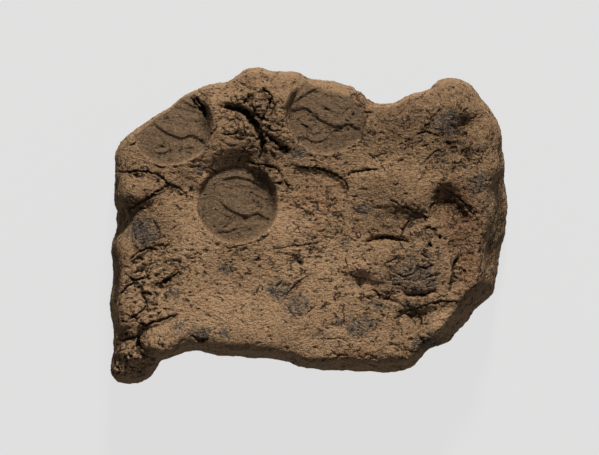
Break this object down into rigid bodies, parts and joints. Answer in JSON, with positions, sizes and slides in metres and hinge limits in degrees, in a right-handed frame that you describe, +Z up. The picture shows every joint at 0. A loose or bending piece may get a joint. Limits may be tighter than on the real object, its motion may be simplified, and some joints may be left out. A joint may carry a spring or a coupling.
{
  "type": "clay bulla",
  "caption": "Flat, hand-pressed lump of sealing clay with sunken round stamp impressions on its cracked face and a broken stump at one corner.",
  "frame": {"origin": "on the flat underside, under the middle of the lump's box", "axes": "+X along the length of the lump, +Y across it towards the side with two of the stamps, +Z up out of the stamped face"},
  "size_m": [0.0636, 0.0506, 0.0218],
  "materials": {
    "clay": "matt, dusty brown clay with soot-grey patches and red-brown earth in the hollows"
  },
  "bodies": {
    "root": {"bulla": "clay"}
  },
  "joints": []
}
